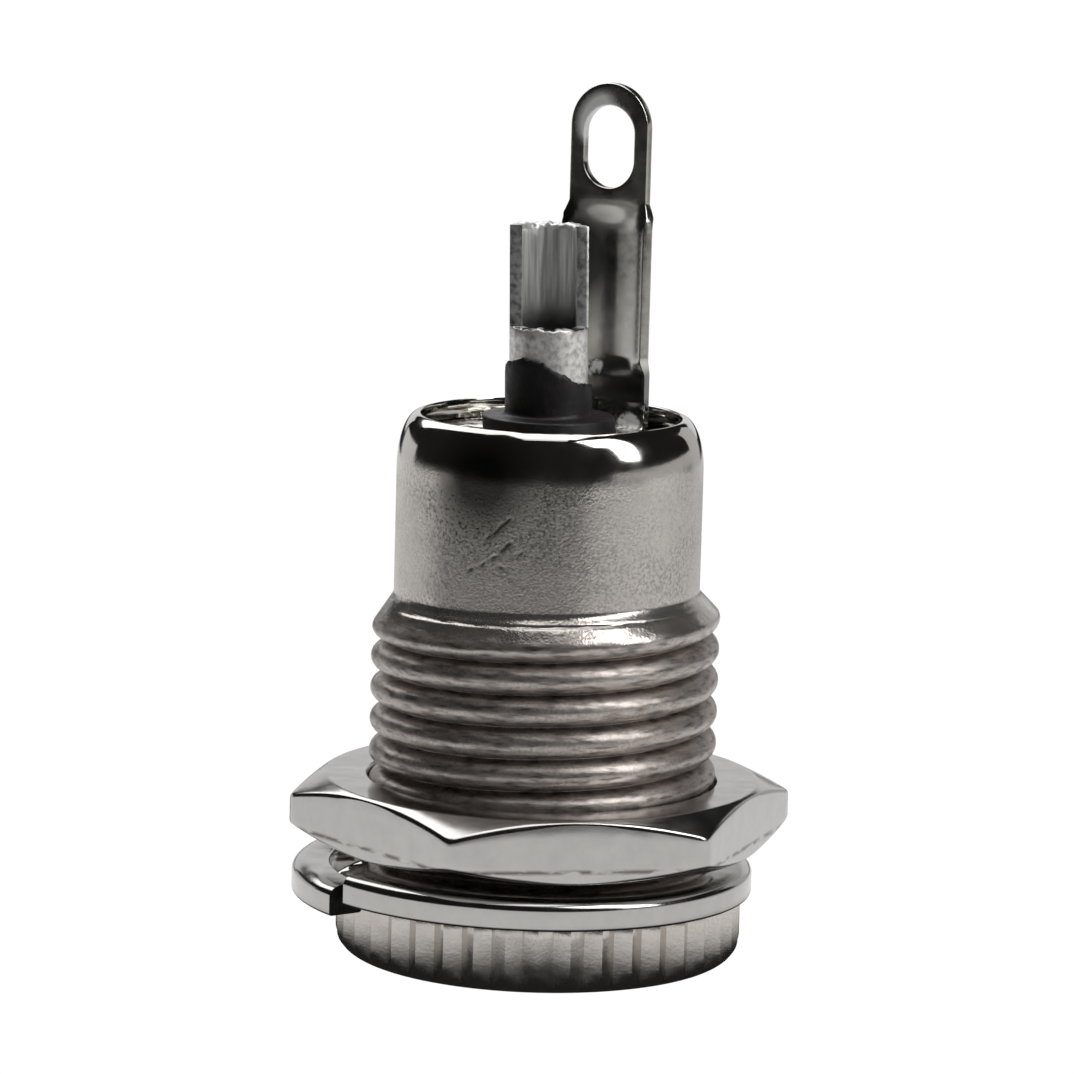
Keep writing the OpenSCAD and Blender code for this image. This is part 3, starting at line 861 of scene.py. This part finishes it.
def noise(tree, scale, detail=4, stretch=(1, 1, 1)):
    """Noise over the object's own coordinates; scale counts features a millimetre."""
    where = tree.nodes.new("ShaderNodeTexCoord")
    mapping = tree.nodes.new("ShaderNodeMapping")
    mapping.inputs["Scale"].default_value = tuple(scale / MM * s for s in stretch)
    tree.links.new(where.outputs["Object"], mapping.inputs["Vector"])
    tex = tree.nodes.new("ShaderNodeTexNoise")
    tex.inputs["Scale"].default_value = 1
    tex.inputs["Detail"].default_value = detail
    tree.links.new(mapping.outputs["Vector"], tex.inputs["Vector"])
    return tex.outputs["Fac"]


def spread(tree, value, low, high, start=0.3, end=0.7):
    """Maps a noise value to the range low to high."""
    node = tree.nodes.new("ShaderNodeMapRange")
    node.inputs["From Min"].default_value = start
    node.inputs["From Max"].default_value = end
    node.inputs["To Min"].default_value = low
    node.inputs["To Max"].default_value = high
    tree.links.new(value, node.inputs["Value"])
    return node.outputs["Result"]


def bump(tree, shader, value, height, below=None):
    """Adds relief; height is in millimetres."""
    node = tree.nodes.new("ShaderNodeBump")
    node.inputs["Strength"].default_value = 1
    node.inputs["Distance"].default_value = height * MM
    tree.links.new(value, node.inputs["Height"])
    if below is not None:
        tree.links.new(below, node.inputs["Normal"])
    tree.links.new(node.outputs["Normal"], shader.inputs["Normal"])
    return node.outputs["Normal"]


def tint(tree, shader, value, dark, light):
    """Colours the shader from dark to light by a noise value."""
    ramp = tree.nodes.new("ShaderNodeValToRGB")
    ramp.color_ramp.elements[0].color = (*dark, 1)
    ramp.color_ramp.elements[1].color = (*light, 1)
    ramp.color_ramp.elements[0].position = 0.35
    ramp.color_ramp.elements[1].position = 0.65
    tree.links.new(value, ramp.inputs["Fac"])
    tree.links.new(ramp.outputs["Color"], shader.inputs["Base Color"])


def nearness(tree, place, near, far):
    """1 within a distance of a place in millimetres, and 0 past a further one."""
    where = tree.nodes.new("ShaderNodeTexCoord")
    reach = tree.nodes.new("ShaderNodeVectorMath")
    reach.operation = "DISTANCE"
    tree.links.new(where.outputs["Object"], reach.inputs[0])
    reach.inputs[1].default_value = tuple(c * MM for c in place)
    return spread(tree, reach.outputs["Value"], 1, 0, near * MM, far * MM)


def nickel(name, rough_low, rough_high, grain, colour):
    """Nickel plate: cloudy roughness and a fine grain."""
    mat, tree, shader = material(name, colour, 1.0, 0.2)
    cloud = noise(tree, 1.4, 3)
    tree.links.new(spread(tree, cloud, rough_low, rough_high), shader.inputs["Roughness"])
    tint(tree, shader, noise(tree, 2.0, 3), tuple(c * 0.95 for c in colour), colour)
    first = bump(tree, shader, noise(tree, 9, 2), grain)
    bump(tree, shader, noise(tree, 0.7, 1), 0.02, below=first)
    return mat, tree, shader


def nut_nickel():
    """Nickel plate, with a broken scuff line round the nut's sides."""
    mat, tree, shader = nickel("nut_nickel", 0.14, 0.2, 0.0006, NUT_PLATE)
    plate = shader.inputs["Base Color"].links[0].from_socket
    line = by_height(tree, ((0, 0), (NUT_Z0 + 0.4, 0), (NUT_Z0 + 0.43, 1), (NUT_Z0 + 0.46, 1),
                            (NUT_Z0 + 0.5, 0)))
    broken = spread(tree, noise(tree, 1.3, 4, (1, 1, 3)), 0, 0.9, 0.4, 0.54)
    tree.links.new(blend(tree, product(tree, line, broken), plate, SCUFF), shader.inputs["Base Color"])
    return mat


def math_node(tree, kind, a, b):
    node = tree.nodes.new("ShaderNodeMath")
    node.operation = kind
    for socket, value in zip(node.inputs, (a, b)):
        if isinstance(value, (int, float)):
            socket.default_value = value
        else:
            tree.links.new(value, socket)
    return node.outputs["Value"]


def product(tree, a, b):
    return math_node(tree, "MULTIPLY", a, b)


def larger(tree, a, b):
    return math_node(tree, "MAXIMUM", a, b)


def grey_ramp(tree, factor, steps):
    """Greys along a factor, from steps of (factor, tone)."""
    ramp = tree.nodes.new("ShaderNodeValToRGB")
    while len(ramp.color_ramp.elements) < len(steps):
        ramp.color_ramp.elements.new(0.5)
    for element, (place, tone) in zip(ramp.color_ramp.elements, steps):
        element.position = place
        element.color = (tone, tone, tone, 1)
    tree.links.new(factor, ramp.inputs["Fac"])
    return ramp.outputs["Color"]


def by_height(tree, steps):
    """A value that follows the height over the floor, from steps of (millimetres, value up to 1)."""
    where = tree.nodes.new("ShaderNodeTexCoord")
    split = tree.nodes.new("ShaderNodeSeparateXYZ")
    tree.links.new(where.outputs["Object"], split.inputs["Vector"])
    height = spread(tree, split.outputs["Z"], 0, 1, 0, LUG_Z * MM)
    return grey_ramp(tree, height, [(z / LUG_Z, value) for z, value in steps])


def blend(tree, factor, first, second):
    """Mixes two colours; either may be a link."""
    node = tree.nodes.new("ShaderNodeMix")
    node.data_type = "RGBA"
    tree.links.new(factor, node.inputs["Factor"])
    for socket, value in (("A", first), ("B", second)):
        if isinstance(value, tuple):
            node.inputs[socket].default_value = (*value, 1)
        else:
            tree.links.new(value, node.inputs[socket])
    return node.outputs["Result"]


def shell_nickel():
    """Shell plate: a bright spun dome, a grainy pitted barrel, and a dull brownish thread and head."""
    mat, tree, shader = material("shell_nickel", SHELL_PLATE, 1.0, 0.2)
    dome_z = RIM_Z - DOME_H
    cone_z = THREAD_Z - END_CONE_H
    rough = by_height(tree, ((0, 0.2), (HEAD_H, 0.2), (HEAD_H + 0.3, 0.4), (cone_z - 0.2, 0.4),
                             (cone_z + 0.3, 0.2), (THREAD_Z, 0.2), (THREAD_Z + 0.4, 0.3),
                             (dome_z - 0.5, 0.28), (dome_z + 0.85, 0.11), (RIM_Z, 0.08)))
    grainy = by_height(tree, ((0, 0.25), (HEAD_H, 0.25), (HEAD_H + 0.3, 0.9), (THREAD_Z - 0.3, 0.9),
                              (THREAD_Z + 0.2, 1), (dome_z - 0.4, 1), (dome_z + 0.75, 0.06),
                              (RIM_Z, 0)))
    brown = by_height(tree, ((0, 0.25), (HEAD_H, 0.3), (HEAD_H + 0.4, 0.85), (cone_z, 0.75),
                             (THREAD_Z, 0.3), (dome_z, 0.15), (RIM_Z, 0)))
    metallic = by_height(tree, ((0, 1), (HEAD_H, 1), (HEAD_H + 0.4, 0.86), (cone_z + 0.2, 0.84),
                                (THREAD_Z, 0.88), (THREAD_Z + 0.5, 0.92), (dome_z, 0.95),
                                (dome_z + 0.3, 1)))
    tree.links.new(metallic, shader.inputs["Metallic"])
    pit = tree.nodes.new("ShaderNodeAttribute")
    pit.attribute_name = "pit"
    wear_and_glint = math_node(tree, "ADD", rough, product(tree, pit.outputs["Fac"], 0.2))
    cloud = spread(tree, noise(tree, 1.4, 3), -0.04, 0.04)
    tree.links.new(math_node(tree, "ADD", wear_and_glint, cloud), shader.inputs["Roughness"])

    # What darkens the plate: spots, streaks along the thread, pits, and a painted dark reflection
    # at the dome's foot
    clouds = spread(tree, noise(tree, 0.5, 1), 0.25, 0.6, 0.4, 0.6)
    patches = math_node(tree, "ADD", clouds, nearness(tree, *BARREL_STAIN))
    spots = product(tree, spread(tree, noise(tree, 10, 3), 0, 0.8, 0.42, 0.7), patches)
    streaks = spread(tree, noise(tree, 8, 4, (0.2, 0.2, 1)), 0, 0.7, 0.45, 0.66)
    on_thread = by_height(tree, ((0, 0), (HEAD_H, 0), (HEAD_H + 0.3, 1), (cone_z, 1),
                                 (cone_z + 0.4, 0)))
    dark = larger(tree, product(tree, grainy, spots), pit.outputs["Fac"])
    dark = larger(tree, dark, product(tree, streaks, on_thread))
    # Painted dark reflection at the dome's foot
    dark = larger(tree, dark, product(tree, nearness(tree, *BARREL_PAINTED_REFLECTION), 0.9))
    plate = blend(tree, brown, SHELL_PLATE, SHELL_BROWN)
    tree.links.new(blend(tree, dark, plate, SHELL_DARK), shader.inputs["Base Color"])

    grain = product(tree, noise(tree, 13, 2), math_node(tree, "ADD", grainy, 0.02))
    first = bump(tree, shader, grain, 0.008)
    dented = by_height(tree, ((0, 0.12), (HEAD_H, 0.12), (HEAD_H + 0.3, 1), (THREAD_Z - 0.3, 1),
                              (THREAD_Z, 0), (RIM_Z, 0)))
    bump(tree, shader, product(tree, noise(tree, 1.6, 2, (0.6, 0.6, 1)), dented), 0.05, below=first)
    return mat


def lug_tin():
    """Tinned sheet: wavy in the opening, with a painted dark reflection at the lug's foot, painted
    shade on the trough, and painted highlights on the ring, the trough's foot and the eye's rim.
    """
    mat, tree, shader = material("lug_tin", LUG_BRIGHT, 1.0, 0.2)
    tree.links.new(spread(tree, noise(tree, 1.4, 3), 0.16, 0.24), shader.inputs["Roughness"])
    wavy = by_height(tree, ((0, 1), (RIM_Z - 0.4, 1), (RIM_Z + 0.2, 0.03), (LUG_Z, 0.03)))
    bump(tree, shader, product(tree, noise(tree, 1.5, 2), wavy), 0.25)
    # Painted dark reflection of the black hub on the lug's foot
    foot_reflection = by_height(tree, ((0, 0), (RIM_Z - 0.5, 0), (RIM_Z - 0.2, 1), (RIM_Z + 1, 1),
                            (RIM_Z + 1.4, 0)))
    sheet = blend(tree, foot_reflection, LUG_BRIGHT, LUG_FOOT_REFLECTION)
    # Painted shade on the trough's left
    sheet = blend(tree, nearness(tree, *LUG_SHADE), sheet, LUG_PAINTED_SHADE)
    # Painted highlights: white patches that are not metallic
    glints = nearness(tree, *PAINTED_GLINTS[0])
    for glint in PAINTED_GLINTS[1:]:
        glints = math_node(tree, "ADD", glints, nearness(tree, *glint))
    glints = product(tree, glints, spread(tree, noise(tree, 3, 3), 0, 1, 0.36, 0.5))
    # Painted highlight on the eye's upper left rim
    wear_and_glint = product(tree, nearness(tree, *EYE_RIM), nearness(tree, *EYE_GLINT_SIDE))
    glints = larger(tree, glints, product(tree, wear_and_glint, 0.95))
    tree.links.new(blend(tree, glints, sheet, WHITE), shader.inputs["Base Color"])
    tree.links.new(math_node(tree, "SUBTRACT", 1, glints), shader.inputs["Metallic"])
    return mat


def pin_tin(name, light, dark, streaky=False, shaded=False):
    """Dull tin: drawn streaks in the cup with painted shade at its bottom, or a coarse grain. Shaded
    tin has painted shade beside the cup."""
    mat, tree, shader = material(name, light, 0.6, 0.34)
    if streaky:
        marks = spread(tree, noise(tree, 7, 3, (1, 1, 0.05)), 0, 0.6, 0.35, 0.65)
        cup_z = TAIL_Z - CUP_OPEN
        # Painted shade, darker towards the cup's bottom
        depth = by_height(tree, ((0, 1), (cup_z, 1), (cup_z + 0.9, 0), (TAIL_Z, 0)))
        marks = larger(tree, marks, depth)
    else:
        marks = spread(tree, noise(tree, 5, 5), 0, 0.8, 0.4, 0.72)
    if shaded:
        # Painted shade above the cut, on the tail beside the cup
        above = by_height(tree, ((0, 0), (TAIL_Z - CUP_OPEN - 0.3, 0), (TAIL_Z - 1.5, 0.9),
                                 (TAIL_Z, 0.9)))
        marks = larger(tree, marks, above)
    tree.links.new(blend(tree, marks, light, dark), shader.inputs["Base Color"])
    bump(tree, shader, noise(tree, 6, 3), 0.008)
    return mat


def plastic(name, colour, light, rough):
    """Dull moulded plastic, mottled from one colour to a lighter one."""
    mat, tree, shader = material(name, colour, 0.0, rough)
    tint(tree, shader, noise(tree, 2.5, 4), colour, light)
    patchy = spread(tree, noise(tree, 4, 3), rough - 0.1, rough + 0.1)
    tree.links.new(patchy, shader.inputs["Roughness"])
    bump(tree, shader, noise(tree, 9, 4), 0.012)
    return mat


def bronze(name):
    """Rolled bronze strip, brushed along its length."""
    mat, tree, shader = material(name, BRONZE, 1.0, 0.3)
    tree.links.new(spread(tree, noise(tree, 3, 3), 0.22, 0.4), shader.inputs["Roughness"])
    bump(tree, shader, noise(tree, 12, 3, (1, 1, 0.1)), 0.004)
    return mat


def dress(obj, *mats):
    """Gives an object its materials, in the order of its slots."""
    obj.data.materials.clear()
    for mat in mats:
        obj.data.materials.append(mat)


# ---------------------------------------- scene
# Half the backdrop's width, and how far the layers of the floor lie under the part
FAR = 2500
BACKDROP_DROP = 0.01
SHADE_DROP = 0.015
PAPER_DROP = 0.02
# Tone of the paper: (distance from the part as a share of the reach, tone)
PAPER_REACH = 100
PAPER_TONES = ((0.088, 0.02), (0.122, 0.88), (0.4, 0.84), (0.8, 0.75))
# Darker paper: (name, near, far, start, end, tone, steps), with angles in degrees. The front one
# darkens the barrel's left, and the softer ones at the sides its edges
SHADES = (("front_shade", 42, 130, 180, 292, 0.22, 24), ("left_shade", 72, 106, 150, 178, 0.68, 12),
          ("right_shade", 70, 160, 12, 75, 0.62, 12))
SQUARE = ((-1, -1), (1, -1), (1, 1), (-1, 1))
# Height at which the aimed cards point
AIM_Z = 12


def flat_face(name, corners):
    """A flat face, from its corners in millimetres."""
    mesh = bpy.data.meshes.new(name)
    mesh.from_pydata([tuple(c * MM for c in p) for p in corners], [], [tuple(range(len(corners)))])
    obj = bpy.data.objects.new(name, mesh)
    bpy.context.scene.collection.objects.link(obj)
    return obj


def level_face(name, corners, z):
    return flat_face(name, [(x, y, z) for x, y in corners])


def glow_material(name, strength):
    """A material that gives white light, with its node tree and its emission node."""
    mat = bpy.data.materials.new(name)
    mat.use_nodes = True
    tree = mat.node_tree
    tree.nodes.clear()
    out = tree.nodes.new("ShaderNodeOutputMaterial")
    glow = tree.nodes.new("ShaderNodeEmission")
    glow.inputs["Color"].default_value = (*WHITE, 1)
    glow.inputs["Strength"].default_value = strength
    tree.links.new(glow.outputs["Emission"], out.inputs["Surface"])
    return mat, tree, glow


def only_mirrored(obj):
    """Stage that the camera doesn't see, though the metal mirrors it."""
    obj.visible_camera = False
    obj.visible_shadow = False


def floor():
    """The white backdrop that the camera sees, and the lit paper that the metal mirrors."""
    ground = cad_low.z / MM
    backdrop = level_face("backdrop", [(x * FAR, y * FAR) for x, y in SQUARE], ground - BACKDROP_DROP)
    dress(backdrop, glow_material("backdrop", 1.02)[0])
    backdrop.visible_glossy = False
    backdrop.visible_diffuse = False

    # Paper: dark under the part, where its own shadow lies, and beyond the sheet's round front edge
    outline = (arc(0, 0, 80, 195, 300, 30) + arc(0, 0, 150, 302, 342, 12)
               + [(260, -60), (260, 90), (0, 160)] + arc(0, 0, 210, 150, 195, 12))
    paper = level_face("paper", outline, ground - PAPER_DROP)
    mat, tree, glow = glow_material("paper", 1)
    where = tree.nodes.new("ShaderNodeTexCoord")
    reach = tree.nodes.new("ShaderNodeVectorMath")
    reach.operation = "LENGTH"
    tree.links.new(where.outputs["Object"], reach.inputs[0])
    share = product(tree, reach.outputs["Value"], 1 / (PAPER_REACH * MM))
    tree.links.new(grey_ramp(tree, share, PAPER_TONES), glow.inputs["Color"])
    dress(paper, mat)
    only_mirrored(paper)

    for name, near, far, start, end, tone, steps in SHADES:
        outline = arc(0, 0, near, start, end, steps) + arc(0, 0, far, end, start, steps)
        shade = level_face(name, outline, ground - SHADE_DROP)
        dress(shade, glow_material(name, tone)[0])
        only_mirrored(shade)


def card(name, corners, strength):
    """A flat card that shows only in reflections, as a lamp's face."""
    obj = flat_face(name, corners)
    dress(obj, glow_material(name, strength)[0])
    only_mirrored(obj)


def aimed_card(name, azimuth, elevation, distance, width, height, strength, shape=SQUARE):
    """A card that faces the part from a direction in degrees: azimuth from +X, and elevation. Its
    shape is given in half widths and half heights."""
    a, e = math.radians(azimuth), math.radians(elevation)
    out = Vector((math.cos(e) * math.cos(a), math.cos(e) * math.sin(a), math.sin(e)))
    side = Vector((-math.sin(a), math.cos(a), 0)) * width / 2
    up = out.cross(side).normalized() * height / 2
    middle = Vector((0, 0, AIM_Z)) + out * distance
    card(name, [middle + side * u + up * v for u, v in shape], strength)


def world():
    """A dim surround; the cards and the paper give the light."""
    w = bpy.data.worlds.new("studio")
    bpy.context.scene.world = w
    w.use_nodes = True
    back = w.node_tree.nodes["Background"]
    back.inputs["Color"].default_value = (1, 1, 1, 1)
    back.inputs["Strength"].default_value = 0.013


def camera():
    """The viewing angle: a long lens a little above the jack, tilted slightly."""
    data = bpy.data.cameras.new("camera")
    data.sensor_width = 36
    data.lens = 183.9
    data.clip_start = 0.005
    data.clip_end = 10
    obj = bpy.data.objects.new("camera", data)
    bpy.context.scene.collection.objects.link(obj)
    place = Vector((-0.95, -169.1, 40.85)) * MM
    target = Vector((-0.35, 0, 13.18)) * MM
    obj.location = place
    obj.rotation_euler = (target - place).to_track_quat("-Z", "Y").to_euler()
    obj.rotation_euler.rotate_axis("Z", 0.0277)
    bpy.context.scene.camera = obj


def level_card(name, x0, x1, y0, y1, z, strength):
    card(name, [(x0, y0, z), (x1, y0, z), (x1, y1, z), (x0, y1, z)], strength)


def lights():
    """Cards from above and behind for the lip and the flat faces, and from the sides for the edges."""
    aimed_card("overhead_back", 112, 50, 250, 230, 240, 2.2)
    level_card("zenith", -75, 60, -60, 110, 260, 2.0)
    level_card("over_front", -70, 40, -105, -60, 258, 1.2)
    aimed_card("back_low", 90, 8, 320, 300, 84, 0.74)
    aimed_card("left_back", 133, -2, 200, 105, 60, 0.66)
    aimed_card("right_back", 53, 6, 200, 80, 130, 0.52)
    aimed_card("right_low", 0, 1.5, 300, 560, 46, 0.5)
    aimed_card("right_front", -27, 34, 200, 126, 190, 5,
               ((-1, 1.3), (-1, 0.4), (-0.5, 0.2), (-0.4, -0.6), (-0.1, -0.7), (0.5, -0.75),
                (0.6, 1.3)))


# ---------------------------------------- build
def dress_washer(washer):
    """Plate all over, and black painted shade on the two cut ends: the only faces of many corners."""
    dress(washer, nickel("washer_nickel", 0.12, 0.18, 0.0006, (0.495, 0.485, 0.468))[0],
          plastic("washer_slit_shade", (0.004, 0.004, 0.004), (0.012, 0.01, 0.01), 0.6))
    # Painted shade of the slit: the cut ends are black
    for face in washer.data.polygons:
        if face.loop_total > 4:
            face.material_index = 1


def dress_pin(pin):
    """Tin outside (slot 0), cup, cut faces, black painted shade at the cut's foot, and bright edges."""
    dress(pin, pin_tin("pin_tin", (1, 0.99, 0.96), (0.34, 0.33, 0.32), shaded=True),
          pin_tin("pin_cup", (0.88, 0.88, 0.86), (0.14, 0.14, 0.14), streaky=True),
          pin_tin("pin_cut_dull", (0.5, 0.5, 0.5), (0.02, 0.02, 0.02)),
          plastic("pin_cut_shade", (0.004, 0.004, 0.004), (0.03, 0.03, 0.028), 0.5),
          pin_tin("pin_edge", (0.85, 0.85, 0.83), (0.3, 0.3, 0.29)))
    cup, cut, cut_shade, edge = range(1, 5)
    cut_z = TAIL_Z - CUP_OPEN
    near = 0.005
    for face in pin.data.polygons:
        x, y, z = face.center / MM
        across = math.hypot(x - lean(z), y)
        if z > TAIL_Z - CUP_DEPTH - 0.3 and across < CUP_R + near:
            face.material_index = cup
        elif z > cut_z and face.normal.z > 0.25:
            face.material_index = edge
        elif z > cut_z and x > 0 and across > TAIL_R - 0.1 and y < 0:
            face.material_index = edge
        elif z > cut_z and abs(face.normal.y) > 0.7 and across < TAIL_R - near:
            face.material_index = cut
        # Painted shade: the flat cut face at the opening's foot is black
        elif cut_z - 0.1 < z <= cut_z + 0.06 and y < 0:
            face.material_index = cut_shade if face.normal.z > 0.9 else edge


shell = shell_piece()
nut = nut_piece()
washer = washer_piece()
lug = lug_piece()
pin = pin_piece()
bush = bush_piece()

dress(shell, shell_nickel())
dress(nut, nut_nickel())
dress_washer(washer)
dress(lug, lug_tin())
dress_pin(pin)
dress(bush, plastic("bush_black", (0.004, 0.004, 0.005), (0.012, 0.008, 0.009), 0.5))
dress(frame["nodes"]["insulator"],
      plastic("insulator_black", (0.014, 0.014, 0.016), (0.026, 0.026, 0.028), 0.5))
dress(frame["nodes"]["sleeve_spring"], bronze("spring_bronze"))

floor()
world()
camera()
lights()

bpy.context.scene.view_settings.view_transform = "Standard"
